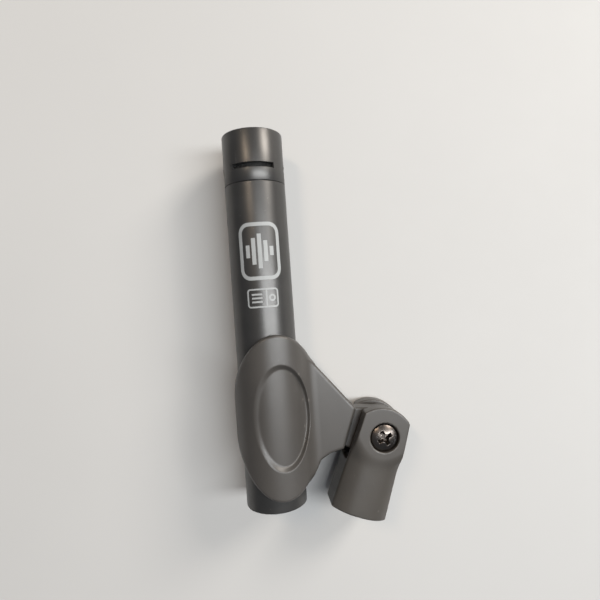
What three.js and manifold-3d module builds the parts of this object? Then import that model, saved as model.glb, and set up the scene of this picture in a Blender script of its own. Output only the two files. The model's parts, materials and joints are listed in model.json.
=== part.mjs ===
// Slim pencil microphone held in a moulded stand clip with a swivelling threaded base.
// Units are millimetres. The clip frame is used while modelling: +Y runs along the
// microphone towards its front, +X runs from the microphone to the arm, and Z is the
// direction of the pivot screw. The whole assembly is turned at the end so that it lies
// on the floor, with +Z up.
import * as THREE from 'three';
import { mergeVertices } from 'three/addons/utils/BufferGeometryUtils.js';
import Module from 'manifold-3d';

const wasm = await Module();
wasm.setup();

// ---- Resting attitude of the whole assembly on the floor, in degrees.
const REST_ROLL = 5.2;
const REST_TILT = 0;

// ---- Round facets.
const SEG_BIG = 48;
const SEG_MID = 32;
const SEG_SMALL = 20;

// ---- Microphone, measured from its front face back along the axis.
const MIC_FRONT_Y = 100.6;
const MIC_LENGTH = 134;
const MIC_R = 11;
const WALL_IN_R = 10.1;
const INNER_R = 9.8;
const SEAM_FROM = 18.25;
const SEAM_TO = 18.55;
const SEAM_BEVEL = 0.3;
const RIM_BEVEL = 0.4;
const SLOT_FROM = 11.9;
const SLOT_TO = 13.9;
const SLOT_ARC = 84;
const SLOT_TURN = -3;
const FRONT_LIP_R = 9.3;
const FRONT_LIP_DEEP = 1.6;
const GRILLE_HOLE = 1.5;
const GRILLE_PITCH = 2.2;
const TAIL_ROUND = 1.0;
const SOCKET_R = 8.2;
const SOCKET_FLOOR = 121.5;
const PIN_R = 1.2;
const PIN_OFFSET = 3.8;

// ---- Clip.
const BORE_R = 11.3;
const JAW_R = 14.3;
const JAW_X = 1;
const SIDE_X = 3.0;
const SIDE_HALF_X = 16.6;
const SIDE_HALF_Y = 28.4;
const DISH_X = 4.1;
const DISH_HALF_X = 8.5;
const DISH_HALF_Y = 16.75;
const DISH_WALL = 1.8;
const MOUTH_HALF = 4;
const RECESS_FLOOR_R = 13.1;
const WEB_HALF = 6;
const VALLEY_R = 2.5;
const TONGUE_HALF = 3.5;
const TONGUE_R = 9.5;

// ---- Pivot and swivel base. q runs down the base from the pivot.
const PIVOT_X = 39.45;
const PIVOT_Y = -11.2;
const SWIVEL_REST = -21;
const EAR_HALF = 10;
const EAR_GAP_HALF = 4.9;
const EAR_SLOT_END = 12;
const CROWN_X = -0.65;
const CROWN_Y = -1.68;
const CROWN_R = 12;
const BASE_HALF = 10.4;
const BASE_END = 29.6;
const FLAT_END = 9.8;
const ARCH_R = 14;
const ARCH_Z = -4.1;
const ARCH_RISE = 26;
const HOLE_R = 2.8;
const SHANK_R = 2.5;
const HEAD_R = 4.85;
const SCREW_TURN = 46;
const RECESS_R = 5.2;
const RECESS_FLOOR_Z = 6.8;
const NUT_AF = 8;
const NUT_POCKET_AF = 8.6;
const SOCKET_BORE_R = 8.8;
const SOCKET_BORE_TOP = 15.5;
const INSERT_R = 8.5;
const INSERT_IN_R = 7.5;
const THREAD_R = 7.9;
const THREAD_PITCH = 0.94;

const rad = THREE.MathUtils.degToRad;

// ---- Solids made from three.js geometry.
function solid(geometry) {
  const plain = new THREE.BufferGeometry();
  plain.setAttribute('position', geometry.getAttribute('position').clone());
  if (geometry.index) plain.setIndex(geometry.index.clone());
  const welded = mergeVertices(plain, 1e-4);
  const keep = [];
  for (let i = 0; i < welded.index.count; i += 3) {
    const a = welded.index.getX(i);
    const b = welded.index.getX(i + 1);
    const c = welded.index.getX(i + 2);
    if (a !== b && b !== c && c !== a) keep.push(a, b, c);
  }
  return new wasm.Manifold(new wasm.Mesh({
    numProp: 3,
    vertProperties: new Float32Array(welded.getAttribute('position').array),
    triVerts: new Uint32Array(keep),
  }));
}

function geometryOf(manifold) {
  const mesh = manifold.getMesh();
  const geometry = new THREE.BufferGeometry();
  geometry.setAttribute('position', new THREE.BufferAttribute(new Float32Array(mesh.vertProperties), 3));
  geometry.setIndex(new THREE.BufferAttribute(new Uint32Array(mesh.triVerts), 1));
  geometry.computeVertexNormals();
  return geometry;
}

// A solid of revolution about Y. Profile points are [radius, y]; the outer side rises.
function lathe(profile, segments) {
  return solid(new THREE.LatheGeometry(profile.map((p) => new THREE.Vector2(p[0], p[1])), segments));
}

// The same with points [radius, distance behind the microphone's front].
function turned(profile, segments = SEG_BIG) {
  return lathe(profile.map((p) => [p[0], MIC_FRONT_Y - p[1]]), segments);
}

// A plain ring or disc of the microphone between two distances behind its front.
function ring(outer, inner, from, to, segments = SEG_BIG) {
  if (inner === 0) return turned([[0, to], [outer, to], [outer, from], [0, from]], segments);
  return turned([[inner, to], [outer, to], [outer, from], [inner, from], [inner, to]], segments);
}

function rod(radius, length, segments) {
  return new THREE.CylinderGeometry(radius, radius, length, segments);
}

function rodZ(radius, z0, z1, x = 0, y = 0, segments = SEG_MID) {
  return solid(rod(radius, z1 - z0, segments).rotateX(Math.PI / 2).translate(x, y, (z0 + z1) / 2));
}

function rodY(radius, y0, y1, x = 0, z = 0, segments = SEG_MID) {
  return solid(rod(radius, y1 - y0, segments).translate(x, (y0 + y1) / 2, z));
}

function box(x0, x1, y0, y1, z0, z1) {
  return solid(new THREE.BoxGeometry(x1 - x0, y1 - y0, z1 - z0)
    .translate((x0 + x1) / 2, (y0 + y1) / 2, (z0 + z1) / 2));
}

function outlineOf(points) {
  return new THREE.Shape(points.map((p) => new THREE.Vector2(p[0], p[1])));
}

// Prism of an X-Y outline between two heights, with optional edge bevel.
function slab(points, z0, z1, bevel = 0) {
  const geometry = new THREE.ExtrudeGeometry(outlineOf(points), {
    depth: z1 - z0 - 2 * bevel,
    bevelEnabled: bevel > 0,
    bevelThickness: bevel,
    bevelSize: bevel,
    bevelOffset: -bevel,
    bevelSegments: 2,
  });
  return solid(geometry.translate(0, 0, z0 + bevel));
}

// Prism of an X-Z outline along Y.
function slabY(points, y0, y1) {
  const geometry = new THREE.ExtrudeGeometry(outlineOf(points), { depth: y1 - y0, bevelEnabled: false });
  return solid(geometry.rotateX(Math.PI / 2).translate(0, y1, 0));
}

function arc(cx, cy, rx, ry, from, to, steps) {
  const points = [];
  for (let i = 0; i <= steps; i += 1) {
    const a = rad(from + ((to - from) * i) / steps);
    points.push([cx + rx * Math.cos(a), cy + ry * Math.sin(a)]);
  }
  return points;
}

// ---- Materials.
function material(name, color, metalness, roughness) {
  const made = new THREE.MeshStandardMaterial({ color, metalness, roughness });
  made.name = name;
  return made;
}
const satinCoat = material('satin_coat', 0x4a4946, 0.7, 0.4);
const meshMetal = material('mesh_metal', 0x1d1d1d, 0.6, 0.6);
const capsuleMetal = material('capsule_metal', 0xb5a06a, 0.9, 0.35);
const foil = material('diaphragm_foil', 0xc9b36a, 0.9, 0.25);
const darkPlastic = material('dark_plastic', 0x151515, 0, 0.6);
const innerMetal = material('inner_metal', 0x9a9a98, 0.9, 0.4);
const boardGreen = material('board_laminate', 0x1f5a33, 0, 0.6);
const capShell = material('capacitor_sleeve', 0x20242c, 0.1, 0.5);
const filmRed = material('capacitor_film', 0x9b2b1f, 0, 0.5);
const pinGold = material('pin_gold', 0xc9a24a, 1, 0.3);
const clipPlastic = material('clip_plastic', 0x3a3733, 0, 0.55);
const basePlastic = material('base_plastic', 0x3a3733, 0, 0.55);
const brass = material('brass', 0xb08a45, 1, 0.35);
const darkNickel = material('dark_nickel', 0x5a5856, 1, 0.35);
const washerNylon = material('washer_nylon', 0x26251f, 0, 0.6);

function part(name, manifold, surface) {
  const mesh = new THREE.Mesh(geometryOf(manifold), surface);
  mesh.name = name;
  return mesh;
}

// ================= Microphone =================
const microphone = new THREE.Group();
microphone.name = 'microphone';

// Head shell: thin tube with a front lip and three vent slots round it.
function headShell() {
  let shell = turned([
    [WALL_IN_R, SEAM_FROM], [MIC_R - SEAM_BEVEL, SEAM_FROM], [MIC_R, SEAM_FROM - SEAM_BEVEL],
    [MIC_R, RIM_BEVEL], [MIC_R - RIM_BEVEL, 0], [FRONT_LIP_R, 0], [FRONT_LIP_R, FRONT_LIP_DEEP],
    [WALL_IN_R, FRONT_LIP_DEEP], [WALL_IN_R, SEAM_FROM],
  ]);
  for (let i = 0; i < 3; i += 1) {
    const middle = 90 - SLOT_TURN + i * 120;
    const outer = arc(0, 0, 14, 14, middle - SLOT_ARC / 2, middle + SLOT_ARC / 2, 9);
    const inner = arc(0, 0, 8, 8, middle + SLOT_ARC / 2, middle - SLOT_ARC / 2, 9);
    const slot = slabY(outer.concat(inner), MIC_FRONT_Y - SLOT_TO, MIC_FRONT_Y - SLOT_FROM);
    shell = shell.subtract(slot);
  }
  return shell;
}
microphone.add(part('head_shell', headShell(), satinCoat));

// Front grille: disc pierced by a square grid of holes.
function frontGrille() {
  let disc = ring(INNER_R, 0, 1.9, 2.4, SEG_MID);
  for (let i = -3; i <= 3; i += 1) {
    for (let j = -3; j <= 3; j += 1) {
      const x = i * GRILLE_PITCH;
      const z = j * GRILLE_PITCH;
      if (Math.hypot(x, z) > 7.8) continue;
      const h = GRILLE_HOLE / 2;
      disc = disc.subtract(box(x - h, x + h, MIC_FRONT_Y - 3, MIC_FRONT_Y - 1, z - h, z + h));
    }
  }
  return disc;
}
microphone.add(part('front_grille', frontGrille(), meshMetal));
microphone.add(part('grille_ring', ring(INNER_R, 8.7, 2.7, 3.9, SEG_MID), darkPlastic));
microphone.add(part('slot_screen', ring(INNER_R, 9.3, 9.9, 15.9), meshMetal));

// Capsule: case, foil, tension ring, backplate, insulator and contact pin.
const capsuleCase = turned([
  [8.1, 11.6], [8.9, 11.6], [8.9, 4.5], [8.6, 4.2], [6.6, 4.2], [6.6, 5.0], [8.1, 5.0], [8.1, 11.6],
], SEG_MID);
microphone.add(part('capsule_case', capsuleCase, capsuleMetal));
microphone.add(part('diaphragm', ring(7.8, 0, 5.3, 5.5, SEG_MID), foil));
microphone.add(part('diaphragm_ring', ring(7.8, 7.0, 5.8, 6.8, SEG_MID), innerMetal));

function backplate() {
  let disc = ring(6.7, 0, 5.8, 8.2, SEG_MID);
  for (let i = 0; i < 6; i += 1) {
    const a = rad(60 * i);
    const x = 4.2 * Math.cos(a);
    const z = 4.2 * Math.sin(a);
    disc = disc.subtract(rodY(0.6, MIC_FRONT_Y - 9, MIC_FRONT_Y - 5, x, z, 10));
  }
  return disc;
}
microphone.add(part('backplate', backplate(), capsuleMetal));
microphone.add(part('capsule_insulator', ring(7.8, 1.0, 8.5, 11.2, SEG_MID), darkPlastic));
const contact = turned([[0, 22.2], [0.7, 22.2], [0.7, 8.8], [0.5, 8.5], [0, 8.5]], SEG_SMALL);
microphone.add(part('contact_pin', contact, pinGold));

// Threaded collar inside the seam between head and body.
const collar = turned([
  [8.4, 22.0], [9.5, 22.0], [INNER_R, 21.7], [INNER_R, 16.5], [9.5, 16.2], [8.4, 16.2], [8.4, 22.0],
]);
microphone.add(part('head_collar', collar, innerMetal));

// Body tube with a rounded tail rim and a hole for the connector's lock screw.
function bodyTube() {
  const r = MIC_R - TAIL_ROUND;
  const end = MIC_LENGTH;
  const round = [90, 60, 30, 0].map((d) => [
    r + TAIL_ROUND * Math.cos(rad(d)), end - TAIL_ROUND + TAIL_ROUND * Math.sin(rad(d)),
  ]);
  const tube = turned([
    [r, end], ...round.slice(1),
    [MIC_R, SEAM_TO + SEAM_BEVEL], [MIC_R - SEAM_BEVEL, SEAM_TO], [WALL_IN_R, SEAM_TO],
    [WALL_IN_R, end - 0.6], [9.9, end], [r, end],
  ]);
  return tube.subtract(rodZ(1.4, -13, -8, 0, MIC_FRONT_Y - 128, SEG_SMALL));
}
microphone.add(part('body_tube', bodyTube(), satinCoat));

// Amplifier board and what is soldered on it.
const BOARD_TOP = -1;
const BOARD_THICK = 1.6;
const fromFront = (t) => MIC_FRONT_Y - t;
const board = box(-8, 8, fromFront(108), fromFront(22.6), BOARD_TOP - BOARD_THICK, BOARD_TOP);
microphone.add(part('circuit_board', board, boardGreen));
const PARTS_Z = BOARD_TOP + 0.3;
const canShape = [
  [0, 0], [2.4, 0], [2.5, 0.3], [2.5, 1.4], [2.2, 1.8], [2.5, 2.2], [2.5, 9.6], [2.2, 10], [0, 10],
];
function can(t, x) {
  return solid(new THREE.LatheGeometry(canShape.map((p) => new THREE.Vector2(p[0], p[1])), SEG_SMALL)
    .translate(x, fromFront(t), PARTS_Z + 2.5));
}
microphone.add(part('electrolytic_capacitor_1', can(64, 4), capShell));
microphone.add(part('electrolytic_capacitor_2', can(82, -4), capShell));
const film = slab([[-6, 0], [1.5, 0], [1.5, 11], [-6, 11]].map((p) => [p[0], fromFront(48) + p[1]]),
  PARTS_Z, PARTS_Z + 5.5, 0.4);
microphone.add(part('film_capacitor', film, filmRed));
const transistorShape = arc(3.5, fromFront(30), 2.3, 2.3, -60, 240, 16);
microphone.add(part('input_transistor', slab(transistorShape, PARTS_Z, PARTS_Z + 4.4), darkPlastic));
const support = ring(INNER_R, 3.0, 110, 112.5, SEG_MID)
  .subtract(box(-8.3, 8.3, fromFront(111), fromFront(109), BOARD_TOP - BOARD_THICK - 0.3, PARTS_Z));
microphone.add(part('board_support', support, darkPlastic));

// Three-pin connector in the tail: a cup with the pins standing in its floor.
const pinPlaces = [[-PIN_OFFSET, 0], [PIN_OFFSET, 0], [0, -PIN_OFFSET]];
function connectorCup() {
  let cup = turned([
    [0, SOCKET_FLOOR], [SOCKET_R, SOCKET_FLOOR], [SOCKET_R, 133.0], [SOCKET_R + 0.4, 133.4],
    [9.5, 133.4], [9.5, 133.0], [INNER_R, 132.6], [INNER_R, 118.8], [9.5, 118.5], [0, 118.5],
  ]);
  pinPlaces.forEach(([x, z]) => {
    cup = cup.subtract(rodY(PIN_R + 0.3, fromFront(123), fromFront(117), x, z, SEG_SMALL));
  });
  cup = cup.subtract(rodZ(1.4, -11, -7, 0, fromFront(128), SEG_SMALL));
  return cup.subtract(box(-1.1, 1.1, fromFront(136), fromFront(123), 7, 8.9));
}
microphone.add(part('connector_cup', connectorCup(), darkPlastic));
pinPlaces.forEach(([x, z], i) => {
  const profile = [
    [0, 132.0], [0.6, 131.9], [1.05, 131.4], [PIN_R, 130.7], [PIN_R, 116.2], [1.0, 116], [0, 116],
  ];
  const pin = solid(new THREE.LatheGeometry(
    profile.map((p) => new THREE.Vector2(p[0], fromFront(p[1]))), SEG_SMALL).translate(x, 0, z));
  microphone.add(part(`connector_pin_${i + 1}`, pin, pinGold));
});
const lockScrew = rodZ(1.1, -10.7, -8.6, 0, fromFront(128), SEG_SMALL)
  .subtract(box(-0.25, 0.25, fromFront(129.5), fromFront(126.5), -11, -10.2));
microphone.add(part('connector_lock_screw', lockScrew, darkNickel));

// ================= Clip =================
const clip = new THREE.Group();
clip.name = 'clip';

// Web outline: front edge, shoulder facing the swivel, and the hollow rear edge.
const webOutline = [
  [8, -27.2], [10, -26.3], [12, -24.6], [13.6, -22.7], [14.8, -20.9], [16.8, -18.3], [20.2, -16.3],
  [22.95, -15.6], [25.3, -15.0], [30.6, -0.6], [16.4, 16.9], [10, 20],
];

// Thumb recess: a shallow dish that follows the jaw, with a sloping wall.
function recessCutter() {
  const steps = 40;
  const rings = [
    [0.3, RECESS_FLOOR_R], [0.6, RECESS_FLOOR_R], [0.82, RECESS_FLOOR_R], [1, RECESS_FLOOR_R],
    [2, JAW_R + 0.5],
  ];
  const positions = [DISH_X, 0, Math.sqrt(RECESS_FLOOR_R ** 2 - (DISH_X - JAW_X) ** 2)];
  rings.forEach(([grow, radius]) => {
    const halfX = DISH_HALF_X * Math.min(grow, 1) + DISH_WALL * Math.max(grow - 1, 0);
    const halfY = DISH_HALF_Y * Math.min(grow, 1) + DISH_WALL * Math.max(grow - 1, 0);
    for (let i = 0; i < steps; i += 1) {
      const a = (2 * Math.PI * i) / steps;
      const x = DISH_X + halfX * Math.cos(a);
      positions.push(x, halfY * Math.sin(a), Math.sqrt(radius ** 2 - (x - JAW_X) ** 2));
    }
  });
  positions.push(DISH_X, 0, 22);
  const index = [];
  const at = (r, i) => 1 + r * steps + (i % steps);
  const top = positions.length / 3 - 1;
  for (let i = 0; i < steps; i += 1) {
    index.push(0, at(0, i + 1), at(0, i));
    for (let r = 0; r < rings.length - 1; r += 1) {
      index.push(at(r, i), at(r, i + 1), at(r + 1, i));
      index.push(at(r, i + 1), at(r + 1, i + 1), at(r + 1, i));
    }
    index.push(at(rings.length - 1, i), at(rings.length - 1, i + 1), top);
  }
  const geometry = new THREE.BufferGeometry();
  geometry.setAttribute('position', new THREE.BufferAttribute(new Float32Array(positions), 3));
  geometry.setIndex(index);
  return geometry;
}

function clipBody() {
  // Cross-section of the jaws with concave valleys running out to the web.
  const reach = JAW_R + VALLEY_R;
  const valleyX = JAW_X + Math.sqrt(reach ** 2 - (WEB_HALF + VALLEY_R) ** 2);
  const valleyZ = WEB_HALF + VALLEY_R;
  const meet = THREE.MathUtils.radToDeg(Math.atan2(valleyZ, valleyX - JAW_X));
  const upper = arc(valleyX, valleyZ, VALLEY_R, VALLEY_R, 270, 180 + meet, 4);
  const lower = upper.map((p) => [p[0], -p[1]]).reverse();
  const section = [
    [17, -WEB_HALF], [17, WEB_HALF], ...upper,
    ...arc(JAW_X, 0, JAW_R, JAW_R, meet, 360 - meet, 44).slice(1, -1), ...lower,
  ];
  const side = slab(arc(SIDE_X, 0, SIDE_HALF_X, SIDE_HALF_Y, 0, 351, 39), -16, 16)
    .add(slab(webOutline, -16, 16));
  let body = slabY(section, -30, 30).intersect(side);
  const dish = recessCutter();
  body = body.subtract(solid(dish));
  body = body.subtract(solid(dish.clone().rotateX(Math.PI)));
  body = body.add(slab(webOutline, -WEB_HALF, WEB_HALF, 0));
  // Tongue that goes between the two ears of the swivel base.
  const tongue = [
    [24, -13.5], [26.5, -15.0], ...arc(PIVOT_X, PIVOT_Y, TONGUE_R, TONGUE_R, -120, 79, 20), [30.3, -0.9],
    [24, 2],
  ];
  body = body.add(slab(tongue, -TONGUE_HALF, TONGUE_HALF));
  body = body.subtract(rodY(BORE_R, -40, 40, 0, 0, SEG_BIG));
  body = body.subtract(box(-20, -4, -40, 40, -MOUTH_HALF, MOUTH_HALF));
  return body.subtract(rodZ(HOLE_R, -10, 10, PIVOT_X, PIVOT_Y));
}
clip.add(part('clip_body', clipBody(), clipPlastic));

// ================= Swivel base =================
const swivel = new THREE.Group();
swivel.name = 'swivel';
swivel.position.set(PIVOT_X, PIVOT_Y, 0);
swivel.rotation.z = rad(SWIVEL_REST);

function hexagon(acrossFlats, turn = 0) {
  const corner = acrossFlats / 2 / Math.cos(rad(30));
  return arc(0, 0, corner, corner, turn, turn + 300, 5);
}

function swivelBase() {
  const crown = arc(CROWN_X, CROWN_Y, CROWN_R, CROWN_R, 44.5, 135.8, 12);
  const outline = [[-BASE_HALF, -BASE_END], [BASE_HALF, -BASE_END], ...crown];
  const flats = slab(outline, -EAR_HALF, EAR_HALF, 0.4);
  // The lower body is arched above and below, and both arches rise into the flat ears.
  const archSection = [
    [ARCH_R, -30], ...arc(0, ARCH_Z, ARCH_R, ARCH_R, 0, 180, 30), [-ARCH_R, -30],
  ];
  const level = slabY(archSection, -BASE_END - 1, 20);
  const rising = slabY(archSection, -2, 40).translate([0, 0, -EAR_HALF])
    .rotate([ARCH_RISE, 0, 0]).translate([0, -FLAT_END, EAR_HALF]);
  const arched = level.add(rising);
  let base = flats.intersect(arched).intersect(arched.rotate([0, 180, 0]));
  const slot = slabY([
    [-14, -EAR_GAP_HALF], [14, -EAR_GAP_HALF], [14, EAR_GAP_HALF], [-14, EAR_GAP_HALF],
  ], -EAR_SLOT_END, 14);
  base = base.subtract(slot);
  base = base.subtract(rodZ(HOLE_R, -12, 12));
  base = base.subtract(rodZ(RECESS_R, RECESS_FLOOR_Z, 12, 0, 0, 40));
  base = base.subtract(slab(hexagon(NUT_POCKET_AF), -12, -RECESS_FLOOR_Z));
  return base.subtract(lathe([
    [0, -BASE_END - 2], [SOCKET_BORE_R, -BASE_END - 2], [SOCKET_BORE_R, -SOCKET_BORE_TOP],
    [0, -SOCKET_BORE_TOP],
  ], SEG_BIG));
}
swivel.add(part('swivel_base', swivelBase(), basePlastic));

// Brass insert with thread grooves.
function threadInsert() {
  const top = -SOCKET_BORE_TOP - 0.4;
  const end = -BASE_END + 0.3;
  const inner = [];
  for (let y = top - 0.8; y > end + 1.2; y -= THREAD_PITCH) {
    inner.push([INSERT_IN_R, y], [THREAD_R, y - THREAD_PITCH / 2]);
  }
  return lathe([
    [THREAD_R, end], [INSERT_R - 0.3, end], [INSERT_R, end + 0.3], [INSERT_R, top], [INSERT_IN_R, top],
    ...inner, [INSERT_IN_R, end + 0.5], [THREAD_R, end],
  ], 26);
}
swivel.add(part('thread_insert', threadInsert(), brass));

// Cross-head pivot screw, its nut and the two friction washers.
function pivotScrew() {
  const under = RECESS_FLOOR_Z + 0.3;
  let screw = solid(new THREE.LatheGeometry([
    [0, -9.8], [2.2, -9.8], [SHANK_R, -9.5], [SHANK_R, under], [HEAD_R - 0.15, under], [HEAD_R, under + 0.3],
    [HEAD_R, 8.9], [4.5, 9.6], [3.6, 10.2], [2.2, 10.5], [0, 10.6],
  ].map((p) => new THREE.Vector2(p[0], p[1])), SEG_MID).rotateX(Math.PI / 2));
  [SCREW_TURN, SCREW_TURN + 90].forEach((turn) => {
    const blade = new THREE.CylinderGeometry(2.9, 1.6, 2.4, 4, 1).rotateY(Math.PI / 4)
      .scale(1.25, 1, 0.28).rotateX(Math.PI / 2).rotateZ(rad(turn)).translate(0, 0, 9.8);
    screw = screw.subtract(solid(blade));
  });
  return screw;
}
swivel.add(part('pivot_screw', pivotScrew(), darkNickel));
const nut = slab(hexagon(NUT_AF), -9.7, -RECESS_FLOOR_Z - 0.3, 0.3).subtract(rodZ(HOLE_R, -12, 0));
swivel.add(part('pivot_nut', nut, darkNickel));
function washer(z0, z1) {
  return rodZ(6, z0, z1).subtract(rodZ(HOLE_R, z0 - 1, z1 + 1));
}
swivel.add(part('friction_washer_upper', washer(3.8, 4.6), washerNylon));
swivel.add(part('friction_washer_lower', washer(-4.6, -3.8), washerNylon));

// ================= Assembly lying on the floor =================
const lying = new THREE.Group();
lying.name = 'lying';
lying.add(microphone, clip, swivel);
lying.rotation.set(rad(REST_TILT), rad(REST_ROLL), 0);

const group = new THREE.Group();
group.name = 'pencil_microphone';
group.add(lying);
group.updateMatrixWorld(true);
const bounds = new THREE.Box3().setFromObject(group, true);
lying.position.set(
  -(bounds.min.x + bounds.max.x) / 2, -(bounds.min.y + bounds.max.y) / 2, -bounds.min.z);
group.updateMatrixWorld(true);

export default group;
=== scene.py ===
"""Looks of a pencil microphone held in a moulded stand clip with a swivelling base.

Shapes are worked out in millimetres in the clip's own frame and placed by the packed
joints: x runs from the microphone to the arm, y along the microphone to its front, and
z along the pivot screw. The swivel has a frame of its own at the pivot, with y pointing
back up the base. Every object is in metres, in the row frame.
"""

import json
import math

import bpy
import numpy as np
from mathutils import Matrix, Vector


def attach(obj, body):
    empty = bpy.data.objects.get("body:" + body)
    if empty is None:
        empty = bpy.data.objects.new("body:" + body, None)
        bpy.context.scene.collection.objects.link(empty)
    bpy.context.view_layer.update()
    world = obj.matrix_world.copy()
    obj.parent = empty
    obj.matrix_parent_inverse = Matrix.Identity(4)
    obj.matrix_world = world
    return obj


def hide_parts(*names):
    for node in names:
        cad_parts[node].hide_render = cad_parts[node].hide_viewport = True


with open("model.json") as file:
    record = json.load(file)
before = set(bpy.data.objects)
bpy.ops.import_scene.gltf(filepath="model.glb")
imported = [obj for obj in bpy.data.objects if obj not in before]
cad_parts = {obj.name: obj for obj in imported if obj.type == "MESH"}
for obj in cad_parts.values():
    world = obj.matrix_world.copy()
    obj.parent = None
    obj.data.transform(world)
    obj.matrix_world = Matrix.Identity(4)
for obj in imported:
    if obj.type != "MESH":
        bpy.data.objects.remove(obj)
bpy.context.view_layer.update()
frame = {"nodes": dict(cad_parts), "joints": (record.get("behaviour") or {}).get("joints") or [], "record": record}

MM = 0.001
JOINTS = {joint["name"]: joint for joint in frame["joints"]}

# Microphone, in millimetres behind its front face.
FRONT_Y = 100.6
LENGTH = 134.0
TUBE_R = 11.0
TUBE_IN_R = 10.1
INNER_R = 9.8
SEAM_FROM = 18.25
SEAM_TO = 18.55
SLOT_FROM = 11.9
SLOT_TO = 13.9
SLOT_MIDDLE = 93
SLOT_HALF_ARC = 42
LIP_R = 9.3
LIP_DEEP = 1.6
FRONT_ROUND = 0.45
CLOTH_R = 9.62
CLOTH_FROM = 10.1
CLOTH_TO = 15.8
SCREW_HOLE_AT = 128.0
SCREW_HOLE_R = 1.4
SOCKET_R = 8.2
SOCKET_FLOOR = 121.5
SOCKET_RIM = 133.4
SOCKET_BACK = 118.5
PIN_R = 1.2
PIN_PLACES = [(-3.8, 0.0), (3.8, 0.0), (0.0, -3.8)]

# Clip.
BORE_R = 11.3
JAW_R = 14.3
JAW_X = 1.0
SIDE_X = 3.0
SIDE_HALF_X = 16.6
SIDE_HALF_Y = 28.4
MOUTH_HALF = 4.0
MOUTH_FROM = -4.0
DISH_X = 4.1
DISH_HALF_X = 8.5
DISH_HALF_Y = 16.75
DISH_SLOPE = 1.4
DISH_SLOPE_FALL = 0.035
DISH_LEAN = 0.08
DISH_DEEP = 1.2
WEB_HALF = 6.0
WEB_FILLET = 3.2
TONGUE_HALF = 3.5
TONGUE_R = 9.5
PIVOT = (39.45, -11.2)
SWIVEL_REST = math.radians(-21)
WEB_OUTLINE = [
    (8.0, -27.2), (10.0, -26.3), (12.0, -24.6), (13.6, -22.7), (14.8, -20.9), (16.8, -18.3),
    (20.2, -16.3), (22.95, -15.6), (25.3, -15.0), (30.6, -0.6), (16.4, 16.9), (10.0, 20.0),
]
TONGUE_OUTLINE = [
    (24.0, -13.5), (26.5, -15.0), (34.7, -19.4), (39.45, -11.2), (41.25, -1.9), (30.3, -0.9),
    (24.0, 2.0),
]

# Swivel base, q millimetres down the base from the pivot.
EAR_HALF = 10.0
EAR_GAP_HALF = 4.9
EAR_SLOT_END = 12.0
CROWN_X = -0.65
CROWN_Q = 1.68
CROWN_R = 12.0
BASE_HALF = 10.4
BASE_END = 29.6
FLAT_END = 9.8
ARCH_R = 14.0
ARCH_DROP = 4.1
ARCH_RISE = 0.48
ARCH_EASE = 2.0
SIDE_TAPER = 1.5
HOLE_R = 2.8
SHANK_R = 2.5
SHANK_MIDDLE = -1.3
SHANK_HALF = 8.5
HEAD_R = 4.85
HEAD_DOME_R = 9.4
HEAD_DOME_Z = 1.07
CROSS_FLOOR = 8.0
SCREW_TURN = math.radians(46)
RECESS_R = 5.2
RECESS_FLOOR = 6.8
NUT_HALF = 4.0
NUT_TURNED_R = 4.45
NUT_MIDDLE = -8.4
NUT_HALF_DEEP = 1.3
NUT_POCKET_HALF = 4.3
SOCKET_BORE_R = 8.8
SOCKET_BORE_TOP = 15.5
INSERT_R = 8.5
INSERT_IN_R = 7.5
THREAD_DEEP = 0.4
THREAD_PITCH = 0.94
WASHER_R = 6.0
WASHER_FROM = 3.8
WASHER_TO = 4.6


# ---- Frames ---------------------------------------------------------------------------

def own_frames():
    """Matrices that take millimetres in the clip's and the swivel's frame to the row frame."""
    along = Vector(JOINTS["microphone_slide"]["axis"]).normalized()
    screw = Vector(JOINTS["base_swivel"]["axis"]).normalized()
    arm = along.cross(screw)
    axes = Matrix((arm, along, screw)).transposed()
    pivot = Vector(JOINTS["base_swivel"]["pos_m"])
    origin = pivot - (arm * PIVOT[0] + along * PIVOT[1]) * MM
    scale = Matrix.Scale(MM, 4)
    clip = Matrix.Translation(origin) @ axes.to_4x4() @ scale
    turn = Matrix.Rotation(SWIVEL_REST, 4, "Z")
    swivel = Matrix.Translation(pivot) @ axes.to_4x4() @ turn @ scale
    return clip, swivel


CLIP, SWIVEL = own_frames()


# ---- Mesh helpers ---------------------------------------------------------------------

def new_piece(name, points, faces, where=CLIP, crease=35.0, normals=None):
    """A mesh object from points in millimetres, smooth but for edges over crease degrees."""
    matrix = np.array(where)
    placed = np.asarray(points, float) @ matrix[:3, :3].T + matrix[:3, 3]
    mesh = bpy.data.meshes.new(name)
    mesh.from_pydata(placed.tolist(), [], [list(face) for face in faces])
    mesh.validate()
    mesh.shade_smooth()
    if normals is None:
        mesh.set_sharp_from_angle(angle=math.radians(crease))
    else:
        turned = normals @ (matrix[:3, :3].T / MM)
        mesh.normals_split_custom_set_from_vertices(turned.tolist())
    piece = bpy.data.objects.new(name, mesh)
    bpy.context.scene.collection.objects.link(piece)
    return piece


def ring_quads(count, size, closed=True):
    """Quads that join each ring of size points to the next, and the last to the first."""
    quads = []
    for i in range(count if closed else count - 1):
        j = (i + 1) % count
        for k in range(size):
            m = (k + 1) % size
            quads.append((i * size + k, i * size + m, j * size + m, j * size + k))
    return quads


def end_caps(count, size):
    """Faces that close the first and the last ring."""
    return [tuple(range(size)), tuple(reversed(range((count - 1) * size, count * size)))]


def revolved(profile, count=160, start=0.0):
    """Points and quads of a closed profile of (radius, height) turned about the y axis."""
    angles = start + 2 * math.pi * np.arange(count) / count
    radius = np.array([p[0] for p in profile])
    height = np.array([p[1] for p in profile])
    x = np.outer(np.cos(angles), radius)
    z = np.outer(np.sin(angles), radius)
    y = np.broadcast_to(height, x.shape)
    points = np.stack([x, y, z], -1).reshape(-1, 3)
    return points, ring_quads(count, len(profile))


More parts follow.
